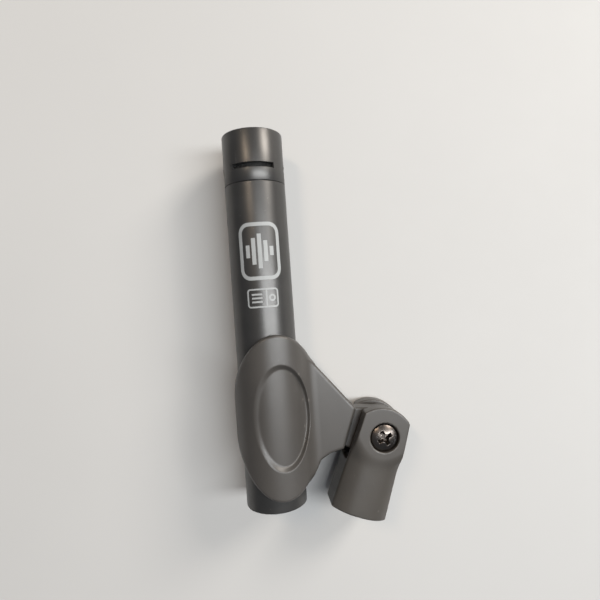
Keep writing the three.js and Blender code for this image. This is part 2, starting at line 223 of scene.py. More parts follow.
def rounded(corners, radius, steps=4):
    """A closed profile with each corner turned into an arc, or left where its radius is 0."""
    radii = [radius] * len(corners) if np.isscalar(radius) else radius
    out = []
    for i, here in enumerate(corners):
        before = Vector(corners[i - 1])
        after = Vector(corners[(i + 1) % len(corners)])
        corner = Vector(here)
        if radii[i] == 0:
            out.append(tuple(corner))
            continue
        one = (before - corner).normalized()
        two = (after - corner).normalized()
        half = one.angle(two) / 2
        reach = min(radii[i] / math.tan(half), (before - corner).length * 0.49,
                    (after - corner).length * 0.49)
        start, end = corner + one * reach, corner + two * reach
        for s in range(steps + 1):
            t = s / steps
            out.append(tuple(start * (1 - t) ** 2 + corner * 2 * t * (1 - t) + end * t ** 2))
    return out


def mic_profile(corners, radius, steps=4):
    """A profile given as (radius, distance behind the front), with rounded corners."""
    return rounded([(r, FRONT_Y - t) for r, t in corners], radius, steps)


def tube_along(path, radius, sides=6, closed=False):
    """Points and quads of a round wire along a list of points."""
    path = np.asarray(path, float)
    ahead = np.roll(path, -1, 0) - np.roll(path, 1, 0)
    if not closed:
        ahead[0], ahead[-1] = path[1] - path[0], path[-1] - path[-2]
    ahead /= np.linalg.norm(ahead, axis=1)[:, None]
    guide = np.array([0.0, 0.0, 1.0])
    if abs(ahead @ guide).max() > 0.9:
        guide = np.array([0.0, 1.0, 0.0])
    side = np.cross(ahead, guide)
    side /= np.linalg.norm(side, axis=1)[:, None]
    up = np.cross(side, ahead)
    turn = 2 * math.pi * np.arange(sides) / sides
    ring = (path[:, None, :] + radius * (np.cos(turn)[None, :, None] * side[:, None, :]
                                         + np.sin(turn)[None, :, None] * up[:, None, :]))
    faces = ring_quads(len(path), sides, closed)
    if not closed:
        faces += end_caps(len(path), sides)
    return ring.reshape(-1, 3), faces


def gathered(parts):
    """Several (points, faces) as one."""
    points, faces, base = [], [], 0
    for some_points, some_faces in parts:
        points.append(some_points)
        faces += [tuple(i + base for i in face) for face in some_faces]
        base += len(some_points)
    return np.concatenate(points), faces


def cut_away(piece, cutter):
    """Cuts one object out of another for good."""
    modifier = piece.modifiers.new("cut", "BOOLEAN")
    modifier.object = cutter
    modifier.operation = "DIFFERENCE"
    modifier.solver = "EXACT"
    settle(piece)
    bpy.data.objects.remove(cutter)


def settle(piece):
    """Applies every modifier of a piece."""
    bpy.context.view_layer.update()
    graph = bpy.context.evaluated_depsgraph_get()
    mesh = bpy.data.meshes.new_from_object(piece.evaluated_get(graph))
    piece.modifiers.clear()
    piece.data = mesh


def soften_edges(piece, width):
    """Small round edges on every crease of a piece."""
    modifier = piece.modifiers.new("soft", "BEVEL")
    modifier.width = width * MM
    modifier.segments = 2
    modifier.limit_method = "ANGLE"
    modifier.angle_limit = math.radians(40)
    modifier.harden_normals = True
    settle(piece)


# ---- Shapes given by a distance, negative inside ----------------------------------------

def both(a, b, r):
    """Where two shapes overlap, with the edge between them rounded over about r."""
    near = np.maximum(r - np.abs(a - b), 0) / r
    return np.maximum(a, b) + near * near * r * 0.25


def either(a, b, r):
    """Two shapes together, with the corner between them filled over about r."""
    return -both(-a, -b, r)


def without(a, b, r):
    """The first shape less the second, with the new edge rounded."""
    return both(a, -b, r)


def oval(x, y, half_x, half_y):
    """Distance from an oval, close to the truth near its edge."""
    k0 = np.hypot(x / half_x, y / half_y)
    k1 = np.hypot(x / half_x ** 2, y / half_y ** 2)
    return k0 * (k0 - 1) / np.maximum(k1, 1e-6)


def polygon(x, y, outline):
    """Distance from a closed outline of straight lines."""
    nearest = np.full(np.broadcast(x, y).shape, 1e9)
    inside = np.zeros(nearest.shape, bool)
    for i, (bx, by) in enumerate(outline):
        ax, ay = outline[i - 1]
        ex, ey = bx - ax, by - ay
        t = np.clip(((x - ax) * ex + (y - ay) * ey) / (ex * ex + ey * ey), 0, 1)
        nearest = np.minimum(nearest, np.hypot(x - ax - t * ex, y - ay - t * ey))
        if by != ay:
            crosses = (ay > y) != (by > y)
            inside ^= crosses & (x < ax + (y - ay) * ex / (by - ay))
    return np.where(inside, -nearest, nearest)


def hexagon(x, y, half):
    """Distance from a hexagon with that half width across its flats."""
    return np.maximum.reduce([
        np.abs(x * math.cos(a) + y * math.sin(a)) - half
        for a in (math.radians(30), math.radians(90), math.radians(150))
    ])


def slope_of(field, points, step):
    """The field and its slope at some points."""
    x, y, z = points.T
    slope = np.stack([
        field(x + step, y, z) - field(x - step, y, z),
        field(x, y + step, z) - field(x, y - step, z),
        field(x, y, z + step) - field(x, y, z - step),
    ], -1) / (2 * step)
    return field(x, y, z), slope


RELAX_TURNS = 2


def skin(field, low, high, cell):
    """Points, quads and normals of the surface where a field is zero."""
    axes = [np.arange(a - 1.7 * cell, b + 2.7 * cell, cell) for a, b in zip(low, high)]
    shape = tuple(len(a) for a in axes)
    value = np.broadcast_to(
        field(axes[0][:, None, None], axes[1][None, :, None], axes[2][None, None, :]), shape)
    cells, crossings, quads = [], [], []
    for a in range(3):
        b, c = (a + 1) % 3, (a + 2) % 3
        first = value.take(range(shape[a] - 1), a)
        second = value.take(range(1, shape[a]), a)
        at = np.argwhere((first < 0) != (second < 0))
        v0, v1 = first[tuple(at.T)], second[tuple(at.T)]
        place = np.stack([axes[k][at[:, k]] for k in range(3)], -1)
        place[:, a] += cell * v0 / (v0 - v1)
        around = []
        for db, dc in ((-1, -1), (0, -1), (0, 0), (-1, 0)):
            beside = at.copy()
            beside[:, b] += db
            beside[:, c] += dc
            around.append(np.ravel_multi_index(tuple(beside.T), shape))
            crossings.append(place)
        cells += around
        quad = np.stack(around, -1)
        outward = v0 < 0
        quads.append(np.where(outward[:, None], quad, quad[:, ::-1]))
    crossings = np.concatenate(crossings)
    names, index = np.unique(np.concatenate(cells), return_inverse=True)
    total = np.bincount(index)
    points = np.stack([np.bincount(index, crossings[:, k]) / total for k in range(3)], -1)
    quads = np.searchsorted(names, np.concatenate(quads))
    pairs = np.concatenate([quads[:, [i, (i + 1) % 4]] for i in range(4)])
    links = np.bincount(pairs[:, 0], minlength=len(points))
    for turn in range(RELAX_TURNS + 1):
        for _ in range(3):
            off, slope = slope_of(field, points, cell * 0.05)
            steep = np.maximum((slope ** 2).sum(1), 0.05)
            move = slope * (off / steep)[:, None]
            size = np.linalg.norm(move, axis=1)
            points -= move * np.minimum(1, cell * 0.5 / np.maximum(size, 1e-9))[:, None]
        if turn == RELAX_TURNS:
            break
        middle = np.stack([
            np.bincount(pairs[:, 0], points[pairs[:, 1], k], len(points)) / links
            for k in range(3)
        ], -1)
        drift = middle - points
        normal = slope / np.linalg.norm(slope, axis=1)[:, None]
        drift -= normal * (drift * normal).sum(1)[:, None]
        points += drift * 0.5
    normal = slope_of(field, points, cell * 0.12)[1]
    normal /= np.linalg.norm(normal, axis=1)[:, None]
    return points, quads.tolist(), normal


def moulded(name, field, low, high, cell, where):
    """A piece with the surface of a field, looked for between two corners in steps of a cell."""
    points, quads, normals = skin(field, low, high, cell)
    return new_piece(name, points, quads, where, normals=normals)


# ---- Finishes ---------------------------------------------------------------------------

def add_node(tree, kind, settings=None, **inputs):
    """A shader node with settings, and inputs by name: a number, a colour or a socket."""
    made = tree.nodes.new("ShaderNode" + kind)
    for name, value in (settings or {}).items():
        setattr(made, name, value)
    for name, value in inputs.items():
        socket = made.inputs[name.replace("_", " ")]
        if isinstance(value, bpy.types.NodeSocket):
            tree.links.new(value, socket)
        else:
            socket.default_value = value
    return made


def new_group(name, inputs, outputs):
    """A shader node group with named inputs and outputs."""
    group = bpy.data.node_groups.new(name, "ShaderNodeTree")
    for label, kind, value in inputs:
        socket = group.interface.new_socket(label, in_out="INPUT", socket_type=kind)
        socket.default_value = value
    for label, kind in outputs:
        group.interface.new_socket(label, in_out="OUTPUT", socket_type=kind)
    return group, group.nodes.new("NodeGroupInput"), group.nodes.new("NodeGroupOutput")


FLOAT, COLOUR = "NodeSocketFloat", "NodeSocketColor"


def grain_group():
    """Fine even grain, as sprayed paint or an etched mould leaves."""
    group, start, end = new_group(
        "surface_grain", [("Scale", FLOAT, 2500.0), ("Coarse", FLOAT, 0.3)],
        [("Height", FLOAT)])
    here = add_node(group, "TexCoord").outputs["Object"]
    fine = add_node(group, "TexNoise", Vector=here, Scale=start.outputs["Scale"],
                    Detail=3.0, Roughness=0.6)
    wide_scale = add_node(group, "Math", {"operation": "MULTIPLY"})
    group.links.new(start.outputs["Scale"], wide_scale.inputs[0])
    wide_scale.inputs[1].default_value = 0.31
    wide = add_node(group, "TexVoronoi", Vector=here, Scale=wide_scale.outputs[0])
    mixed = add_node(group, "Mix", {"data_type": "FLOAT"})
    group.links.new(start.outputs["Coarse"], mixed.inputs[0])
    group.links.new(fine.outputs["Fac"], mixed.inputs[2])
    group.links.new(wide.outputs["Distance"], mixed.inputs[3])
    group.links.new(mixed.outputs[0], end.inputs["Height"])
    return group


def tone_group():
    """Slow drift between two close colours."""
    group, start, end = new_group(
        "tone_drift",
        [("Light", COLOUR, (0.5, 0.5, 0.5, 1)), ("Dark", COLOUR, (0.4, 0.4, 0.4, 1)),
         ("Scale", FLOAT, 90.0)],
        [("Color", COLOUR)])
    here = add_node(group, "TexCoord").outputs["Object"]
    cloud = add_node(group, "TexNoise", Vector=here, Scale=start.outputs["Scale"], Detail=5.0,
                     Roughness=0.55)
    spread = add_node(group, "MapRange", Value=cloud.outputs["Fac"], From_Min=0.3, From_Max=0.7)
    mixed = add_node(group, "Mix", {"data_type": "RGBA"})
    group.links.new(spread.outputs[0], mixed.inputs[0])
    group.links.new(start.outputs["Dark"], mixed.inputs[6])
    group.links.new(start.outputs["Light"], mixed.inputs[7])
    group.links.new(mixed.outputs[2], end.inputs["Color"])
    return group


def wear_and_glint_group():
    """Where edges stand proud, broken up by noise: rubbed wear on most finishes, and on the dark nickel a painted
    highlight.
    """
    group, start, end = new_group(
        "rubbed_and_glinting_edges", [("From", FLOAT, 0.52), ("To", FLOAT, 0.62)], [("Mask", FLOAT)])
    edge = add_node(group, "NewGeometry").outputs["Pointiness"]
    here = add_node(group, "TexCoord").outputs["Object"]
    patchy = add_node(group, "TexNoise", Vector=here, Scale=700.0, Detail=4.0)
    spread = add_node(group, "MapRange", Value=edge, From_Min=start.outputs["From"],
                      From_Max=start.outputs["To"])
    broken = add_node(group, "Math", {"operation": "MULTIPLY"})
    group.links.new(spread.outputs[0], broken.inputs[0])
    group.links.new(patchy.outputs["Fac"], broken.inputs[1])
    group.links.new(broken.outputs[0], end.inputs["Mask"])
    return group


def dust_group():
    """Sparse pale specks of dust."""
    group, start, end = new_group(
        "dust_specks", [("Scale", FLOAT, 900.0), ("Size", FLOAT, 0.1)], [("Mask", FLOAT)])
    here = add_node(group, "TexCoord").outputs["Object"]
    specks = add_node(group, "TexVoronoi", Vector=here, Scale=start.outputs["Scale"])
    chosen = add_node(group, "SeparateColor", Color=specks.outputs["Color"])
    some = add_node(group, "Math", {"operation": "GREATER_THAN"})
    group.links.new(chosen.outputs[0], some.inputs[0])
    some.inputs[1].default_value = 0.8
    small = add_node(group, "Math", {"operation": "LESS_THAN"})
    group.links.new(specks.outputs["Distance"], small.inputs[0])
    group.links.new(start.outputs["Size"], small.inputs[1])
    mask = add_node(group, "Math", {"operation": "MULTIPLY"})
    group.links.new(some.outputs[0], mask.inputs[0])
    group.links.new(small.outputs[0], mask.inputs[1])
    group.links.new(mask.outputs[0], end.inputs["Mask"])
    return group


GRAIN, TONE, EDGE_WEAR_AND_GLINT, DUST = grain_group(), tone_group(), wear_and_glint_group(), dust_group()


def colour(r, g, b):
    return (r, g, b, 1.0)


DUST_COLOUR = colour(0.42, 0.4, 0.37)
ROUGH_SPREAD = 0.06


def finish(name, light, dark, metal, rough, grain=2500.0, grain_deep=0.01, coarse=0.3,
           edge=None, edge_from=0.52, edge_to=0.62, dust=0.0, drift=90.0):
    """A finish with drifting tone, lighter proud edges (rubbed wear, and on the dark nickel a painted highlight),
    dust and grain. grain_deep is in millimetres.
    """
    made = bpy.data.materials.new(name)
    made.use_nodes = True
    tree = made.node_tree
    shader = tree.nodes["Principled BSDF"]
    tone = add_node(tree, "Group", {"node_tree": TONE}, Light=light, Dark=dark, Scale=drift)
    surface = tone.outputs["Color"]
    # Proud edges take the edge colour: rubbed wear on most finishes, a painted highlight on the dark nickel.
    if edge is not None:
        wear_and_glint = add_node(tree, "Group", {"node_tree": EDGE_WEAR_AND_GLINT}, From=edge_from, To=edge_to)
        surface = blended(tree, wear_and_glint.outputs["Mask"], surface, edge)
    if dust > 0:
        specks = add_node(tree, "Group", {"node_tree": DUST}, Size=dust)
        surface = blended(tree, specks.outputs["Mask"], surface, DUST_COLOUR)
    tree.links.new(surface, shader.inputs["Base Color"])
    bumps = add_node(tree, "Group", {"node_tree": GRAIN}, Scale=grain, Coarse=coarse)
    rough_map = add_node(tree, "MapRange", Value=bumps.outputs["Height"],
                         To_Min=rough - ROUGH_SPREAD, To_Max=rough + ROUGH_SPREAD)
    tree.links.new(rough_map.outputs[0], shader.inputs["Roughness"])
    bump = add_node(tree, "Bump", Height=bumps.outputs["Height"], Strength=1.0,
                    Distance=grain_deep * MM)
    tree.links.new(bump.outputs["Normal"], shader.inputs["Normal"])
    shader.inputs["Metallic"].default_value = metal
    return made


def blended(tree, mask, under, over):
    """The colour under, with the colour over where the mask is 1."""
    mix = add_node(tree, "Mix", {"data_type": "RGBA"})
    tree.links.new(mask, mix.inputs[0])
    tree.links.new(under, mix.inputs[6])
    mix.inputs[7].default_value = over
    return mix.outputs[2]


FINISHES = {
    "satin_coat": finish(
        "gunmetal_satin", colour(0.080, 0.078, 0.075), colour(0.068, 0.066, 0.064), 0.7, 0.36,
        grain=3200.0, grain_deep=0.006, coarse=0.15, edge=colour(0.42, 0.40, 0.37),
        edge_from=0.56, edge_to=0.7, dust=0.05),
    "mesh_metal": finish(
        "blackened_wire", colour(0.035, 0.034, 0.033), colour(0.02, 0.02, 0.02), 0.9, 0.45,
        grain=6000.0, grain_deep=0.003),
    "capsule_metal": finish(
        "capsule_nickel_brass", colour(0.46, 0.39, 0.24), colour(0.38, 0.32, 0.2), 1.0, 0.3,
        grain=5000.0, grain_deep=0.002),
    "diaphragm_foil": finish(
        "metallised_foil", colour(0.62, 0.5, 0.26), colour(0.55, 0.45, 0.22), 1.0, 0.2,
        grain=1500.0, grain_deep=0.002),
    "dark_plastic": finish(
        "black_moulding", colour(0.022, 0.022, 0.022), colour(0.016, 0.016, 0.016), 0.0, 0.5,
        grain=3000.0, grain_deep=0.006),
    "inner_metal": finish(
        "machined_aluminium", colour(0.5, 0.5, 0.5), colour(0.42, 0.42, 0.42), 1.0, 0.35,
        grain=5000.0, grain_deep=0.002),
    "board_laminate": finish(
        "green_solder_mask", colour(0.02, 0.13, 0.05), colour(0.012, 0.09, 0.035), 0.0, 0.35,
        grain=2200.0, grain_deep=0.004),
    "capacitor_sleeve": finish(
        "capacitor_sleeve_film", colour(0.02, 0.025, 0.05), colour(0.015, 0.02, 0.035), 0.0, 0.3,
        grain=2000.0, grain_deep=0.003),
    "capacitor_film": finish(
        "dipped_red_coating", colour(0.38, 0.04, 0.025), colour(0.3, 0.03, 0.02), 0.0, 0.28,
        grain=900.0, grain_deep=0.02),
    "pin_gold": finish(
        "gold_plate", colour(0.75, 0.55, 0.22), colour(0.66, 0.47, 0.18), 1.0, 0.22,
        grain=5000.0, grain_deep=0.002),
    "clip_plastic": finish(
        "clip_moulding", colour(0.056, 0.051, 0.046), colour(0.049, 0.045, 0.041), 0.0, 0.40,
        grain=2600.0, grain_deep=0.012, coarse=0.25, edge=colour(0.13, 0.12, 0.105),
        edge_from=0.53, edge_to=0.66, dust=0.035),
    "base_plastic": finish(
        "swivel_moulding", colour(0.060, 0.054, 0.047), colour(0.052, 0.047, 0.042), 0.0, 0.38,
        grain=2600.0, grain_deep=0.012, coarse=0.25, edge=colour(0.13, 0.12, 0.105),
        edge_from=0.53, edge_to=0.66, dust=0.035),
    "brass": finish(
        "turned_brass", colour(0.62, 0.45, 0.18), colour(0.52, 0.38, 0.16), 1.0, 0.3,
        grain=5000.0, grain_deep=0.003),
    # Its pale edge colour is a painted highlight on the proud edges of the screw and the nut.
    "dark_nickel": finish(
        "dark_nickel_plate", colour(0.15, 0.13, 0.115), colour(0.11, 0.095, 0.085), 1.0, 0.3,
        grain=2200.0, grain_deep=0.006, edge=colour(0.6, 0.59, 0.57), edge_from=0.54,
        edge_to=0.62),
    "washer_nylon": finish(
        "nylon_washer", colour(0.03, 0.03, 0.027), colour(0.022, 0.022, 0.02), 0.0, 0.4,
        grain=2000.0, grain_deep=0.006),
}
INK = finish("pale_ink", colour(0.31, 0.32, 0.32), colour(0.28, 0.29, 0.29), 0.0, 0.55,
             grain=2800.0, grain_deep=0.006, drift=300.0)


def join_in(piece, body, slot, *nodes, look=None):
    """Gives a piece the finish of its slot and its body, and hides the nodes that it stands for."""
    piece.data.materials.clear()
    piece.data.materials.append(look or FINISHES[slot])
    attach(piece, body)
    if nodes:
        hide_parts(*nodes)
    return piece


# ---- Microphone -------------------------------------------------------------------------

def head_shell():
    """Front tube with a lip, a bevelled seam edge and three vent slots."""
    outline = [
        (TUBE_R - 0.12, SEAM_FROM + 0.08), (TUBE_R, SEAM_FROM - 0.1), (TUBE_R, SLOT_TO),
        (TUBE_R, SLOT_FROM), (TUBE_R, FRONT_ROUND), (TUBE_R - 0.13, 0.13),
        (TUBE_R - FRONT_ROUND, 0), (LIP_R + 0.15, 0), (LIP_R, 0.15), (LIP_R, LIP_DEEP),
        (TUBE_IN_R, LIP_DEEP), (TUBE_IN_R, SLOT_FROM), (TUBE_IN_R, SLOT_TO),
        (TUBE_IN_R, SEAM_FROM + 0.07),
    ]
    profile = [(r, FRONT_Y - t) for r, t in outline]
    # Where the slots' edges come in the outline, outside and inside.
    out_to, out_from, in_from, in_to = 2, 3, 11, 12
    count = 180
    points, _ = revolved(profile, count, math.radians(1))
    size = len(profile)
    degrees = 1 + 2 * np.arange(count)

    def is_open(i):
        middle = degrees[i] + 1 - SLOT_MIDDLE
        return abs((middle + 60) % 120 - 60) < SLOT_HALF_ARC

    faces = []
    for i in range(count):
        j = (i + 1) % count
        for k in range(size):
            if is_open(i) and k in (out_to, in_from):
                continue
            m = (k + 1) % size
            faces.append((i * size + k, i * size + m, j * size + m, j * size + k))
        if is_open(i):
            for outer_k, inner_k, flip in ((out_to, in_to, False), (out_from, in_from, True)):
                wall = (i * size + outer_k, i * size + inner_k, j * size + inner_k,
                        j * size + outer_k)
                faces.append(wall if flip else wall[::-1])
        if is_open(i) != is_open(j):
            edge = (j * size + out_to, j * size + out_from, j * size + in_from,
                    j * size + in_to)
            faces.append(edge if is_open(i) else edge[::-1])
    piece = new_piece("head_tube", points, faces)
    soften_edges(piece, 0.12)
    return join_in(piece, "microphone", "satin_coat", "head_shell")


def woven_wire(place, reach, pitch, wire):
    """Two crossing sets of wires over a round area, waving over and under each other."""
    parts = []
    lines = np.arange(-reach, reach + pitch / 2, pitch)
    for across in (False, True):
        for row, offset in enumerate(lines):
            half = math.sqrt(max(reach ** 2 - offset ** 2, 0))
            if half < pitch:
                continue
            run = np.linspace(-half, half, max(int(2 * half / pitch * 4), 6))
            wave = np.cos(math.pi * (run - lines[0]) / pitch) * wire
            lift = wave if (row + across) % 2 else -wave
            side = np.full_like(run, offset)
            line = place(run, side, lift) if across else place(side, run, lift)
            parts.append(tube_along(line, wire))
    return gathered(parts)


def front_mesh():
    """Woven wire cloth behind the front lip, with a rim wire that holds its edge."""
    middle = FRONT_Y - 2.15

    def flat(a, b, lift):
        return np.stack([a, middle + lift, b], -1)

    cloth = woven_wire(flat, reach=9.5, pitch=0.8, wire=0.14)
    rim = revolved(mic_profile([(9.2, 2.6), (INNER_R, 2.6), (INNER_R, 1.7), (9.2, 1.7)], 0.1, 2),
                   96)
    piece = new_piece("front_wire_cloth", *gathered([cloth, rim]), crease=60)
    return join_in(piece, "microphone", "mesh_metal", "front_grille")


def vent_mesh():
    """Fine wire cloth wrapped round inside the vent slots."""
    parts = []
    pitch, wire = 0.55, 0.1
    around = 2 * math.pi * np.arange(220) / 220
    weave = 55
    for row, t in enumerate(np.arange(CLOTH_FROM, CLOTH_TO, pitch)):
        wave = CLOTH_R + wire * np.cos(weave * around + math.pi * row)
        path = np.stack([wave * np.cos(around), np.full_like(around, FRONT_Y - t),
                         wave * np.sin(around)], -1)
        parts.append(tube_along(path, wire, 5, closed=True))
    run = np.linspace(CLOTH_FROM - 0.1, CLOTH_TO, 32)
    for i in range(2 * weave):
        angle = math.pi * (i + 0.5) / weave
        wave = CLOTH_R + wire * np.cos(math.pi * (run - CLOTH_FROM) / pitch + math.pi * i)
        path = np.stack([wave * math.cos(angle), FRONT_Y - run, wave * math.sin(angle)], -1)
        parts.append(tube_along(path, wire * 0.9, 5))
    backing = revolved(mic_profile([(9.3, 15.9), (9.42, 15.9), (9.42, 9.9), (9.3, 9.9)], 0), 120)
    piece = new_piece("vent_wire_cloth", *gathered(parts + [backing]), crease=60)
    return join_in(piece, "microphone", "mesh_metal", "slot_screen")


def body_tube():
    """Long satin tube with a bevelled seam edge and a rounded tail rim."""
    profile = mic_profile(
        [(TUBE_R, LENGTH), (TUBE_R, SEAM_TO + 0.1), (TUBE_R - 0.12, SEAM_TO - 0.08),
         (TUBE_IN_R, SEAM_TO - 0.07),
         (TUBE_IN_R, LENGTH - 0.4), (TUBE_IN_R - 0.15, LENGTH)],
        [1.0, 0.1, 0.05, 0.1, 0.1, 0.1], 5)
    piece = new_piece("body_barrel", *revolved(profile, 180))
    drill = [(0.01, -14), (SCREW_HOLE_R, -14), (SCREW_HOLE_R, -8), (0.01, -8)]
    below = (CLIP @ Matrix.Translation((0, FRONT_Y - SCREW_HOLE_AT, 0))
             @ Matrix.Rotation(math.pi / 2, 4, "X"))
    hole = new_piece("screw_hole", *revolved(drill, 40), below)
    cut_away(piece, hole)
    return join_in(piece, "microphone", "satin_coat", "body_tube")


def seam_collar():
    """The collar whose edge shows as a dark line in the seam."""
    profile = mic_profile([(8.4, 22.0), (INNER_R, 22.0), (INNER_R, 16.2), (8.4, 16.2)], 0.25)
    piece = new_piece("seam_collar", *revolved(profile, 128))
    return join_in(piece, "microphone", "inner_metal", "head_collar")


def socket_moulding():
    """Connector body in the tail, with holes for the pins and a keyway."""
    profile = mic_profile(
        [(0.01, SOCKET_FLOOR), (SOCKET_R, SOCKET_FLOOR), (SOCKET_R, SOCKET_RIM),
         (9.75, SOCKET_RIM), (9.75, SOCKET_BACK), (0.01, SOCKET_BACK)],
        [0, 0.4, 0.35, 0.3, 0.3, 0], 4)[::-1]
    piece = new_piece("socket_moulding", *revolved(profile, 128))
    fat = [(0.01, FRONT_Y - 123), (PIN_R + 0.12, FRONT_Y - 123), (PIN_R + 0.12, FRONT_Y - 117),
           (0.01, FRONT_Y - 117)]
    cutters = [revolved(fat, 40) for _ in PIN_PLACES]
    for (points, _), (x, z) in zip(cutters, PIN_PLACES):
        points += np.array([x, 0, z])
    cut_away(piece, new_piece("pin_holes", *gathered(cutters)))
    key = box_part((-1.1, FRONT_Y - 135, 7.0), (1.1, FRONT_Y - 123, 8.95))
    cut_away(piece, new_piece("keyway", *key))
    piece.data.set_sharp_from_angle(angle=math.radians(35))
    return join_in(piece, "microphone", "dark_plastic", "connector_cup")


def box_part(low, high):
    """Points and quads of a block, used only to cut."""
    points = np.array([[(low, high)[i][0], (low, high)[j][1], (low, high)[k][2]]
                       for i in (0, 1) for j in (0, 1) for k in (0, 1)], float)
    faces = [(0, 1, 3, 2), (4, 6, 7, 5), (0, 4, 5, 1), (2, 3, 7, 6), (0, 2, 6, 4), (1, 5, 7, 3)]
    return points, faces


def plug_pins():
    """Three gold-plated pins with round tips and a turned shoulder."""
    for number, (x, z) in enumerate(PIN_PLACES, 1):
        profile = mic_profile(
            [(0.01, 132.0), (PIN_R - 0.15, 132.0), (PIN_R, 130.6), (PIN_R, 116.0), (0.01, 116.0)],
            [0, 0.6, 0.8, 0.2, 0], 5)
        points, faces = revolved(profile, 48)
        piece = new_piece(f"plug_pin_{number}", points + np.array([x, 0, z]), faces)
        join_in(piece, "microphone", "pin_gold", f"connector_pin_{number}")


# ---- Printed marks on the body ----------------------------------------------------------

INK_LOW, INK_HIGH = 0.008, 0.035


def on_tube(across, along, lift):
    """A point of the print: across and along in millimetres on the tube's unrolled surface."""
    radius = TUBE_R + lift
    angle = across / TUBE_R
    return np.stack([radius * np.sin(angle), FRONT_Y - along, radius * np.cos(angle)], -1)


def stroke(centre, width, closed):
    """A thin raised stroke of ink along a line on the tube."""
    centre = np.asarray(centre, float)
    ahead = np.roll(centre, -1, 0) - np.roll(centre, 1, 0)
    if not closed:
        ahead[0], ahead[-1] = centre[1] - centre[0], centre[-1] - centre[-2]
    ahead /= np.linalg.norm(ahead, axis=1)[:, None]
    side = np.stack([-ahead[:, 1], ahead[:, 0]], -1)
    spread = np.linspace(-0.5, 0.5, 4)
    rows = [centre + side * width * s for s in spread]
    top = [on_tube(r[:, 0], r[:, 1], INK_HIGH) for r in rows]
    low = [on_tube(r[:, 0], r[:, 1], INK_LOW) for r in rows]
    ring = np.stack(top + low[::-1], 1)
    count, sides = ring.shape[:2]
    faces = [quad[:1] + quad[:0:-1] for quad in ring_quads(count, sides, closed)]
    if not closed:
        faces += end_caps(count, sides)
    return ring.reshape(-1, 3), faces


def frame_line(x, t, half_x, half_t, radius):
    """Centre line of a rounded rectangle on the unrolled tube."""
    line, steps = [], 8
    for sx, st, start in ((1, 1, 0), (-1, 1, 90), (-1, -1, 180), (1, -1, 270)):
        for s in range(steps + 1):
            a = math.radians(start + 90 * s / steps)
            line.append((x + sx * (half_x - radius) + radius * math.cos(a),
                         t + st * (half_t - radius) + radius * math.sin(a)))
    return dense(line + line[:1], 0.4)[:-1]


def dense(line, step):
    """The same line with points no further apart than a step."""
    out = [line[0]]
    for a, b in zip(line, line[1:]):
        parts = max(1, math.ceil(math.dist(a, b) / step))
        out += [(a[0] + (b[0] - a[0]) * s / parts, a[1] + (b[1] - a[1]) * s / parts)
                for s in range(1, parts + 1)]
    return [p for i, p in enumerate(out) if i == 0 or math.dist(p, out[i - 1]) > 1e-6]


def printed_marks():
    """A framed row of level bars and a small two-cell panel, with no lettering."""
    badge_t, bar_gap = 42.95, 2.1
    parts = [stroke(frame_line(0, badge_t, 6.8, 9.35, 3.2), 1.3, True)]
    for column, half in enumerate((2.2, 4.6, 6.0, 3.6, 1.6)):
        x = (column - 2) * bar_gap
        parts.append(stroke(dense([(x, badge_t - half), (x, badge_t + half)], 0.5), 1.4, False))
    panel_t, divider_x, divider_half = 59.2, 1.3, 2.75
    parts.append(stroke(frame_line(0, panel_t, 5.3, 3.05, 0.9), 0.55, True))
    divider = [(divider_x, panel_t - divider_half), (divider_x, panel_t + divider_half)]
    parts.append(stroke(dense(divider, 0.5), 0.5, False))
    for row in (-1.3, 0, 1.3):
        line = [(-3.9, panel_t + row), (-0.2, panel_t + row)]
        parts.append(stroke(dense(line, 0.4), 0.62, False))
    ring_x, ring_r = 3.25, 0.95
    parts.append(stroke([(ring_x + ring_r * math.cos(a), panel_t + ring_r * math.sin(a))
                         for a in np.linspace(0, 2 * math.pi, 29)[:-1]], 0.6, True))
    piece = new_piece("printed_marks", *gathered(parts), crease=30)
    return join_in(piece, "microphone", "satin_coat", look=INK)


# ---- Clip ---------------------------------------------------------------------------------

def clip_shape(x, y, z):
    """Jaws with thumb dishes, the web running out of them, and the tongue."""
    across = x - DISH_X
    slope = DISH_SLOPE - DISH_SLOPE_FALL * across
    rise = oval(across, y, DISH_HALF_X, DISH_HALF_Y) / slope
    deep = DISH_DEEP + DISH_LEAN * across
    dish = deep * (1 - both(either(rise, 1.0, 0.16), 0.0, 0.25))
    jaw = both(np.hypot(x - JAW_X, z) - JAW_R + dish,
               oval(x - SIDE_X, y, SIDE_HALF_X, SIDE_HALF_Y), 1.0)
    web = both(polygon(x, y, WEB_OUTLINE), np.abs(z) - WEB_HALF, 1.2)
    solid = either(jaw, web, WEB_FILLET)
    tongue_side = np.minimum(polygon(x, y, TONGUE_OUTLINE),
                             np.hypot(x - PIVOT[0], y - PIVOT[1]) - TONGUE_R)
    solid = either(solid, both(tongue_side, np.abs(z) - TONGUE_HALF, 0.8), 0.8)
    solid = without(solid, np.hypot(x, z) - BORE_R, 0.6)
    solid = without(solid, both(x - MOUTH_FROM, np.abs(z) - MOUTH_HALF, 0.5), 1.0)
    return without(solid, np.hypot(x - PIVOT[0], y - PIVOT[1]) - HOLE_R, 0.4)


def clip_body():
    low, high = (-13.4, -28.5, -14.4), (49.0, 28.5, 14.4)
    piece = moulded("clip_moulding", clip_shape, low, high, 0.36, CLIP)
    return join_in(piece, "clip", "clip_plastic", "clip_body")


# ---- Swivel -------------------------------------------------------------------------------

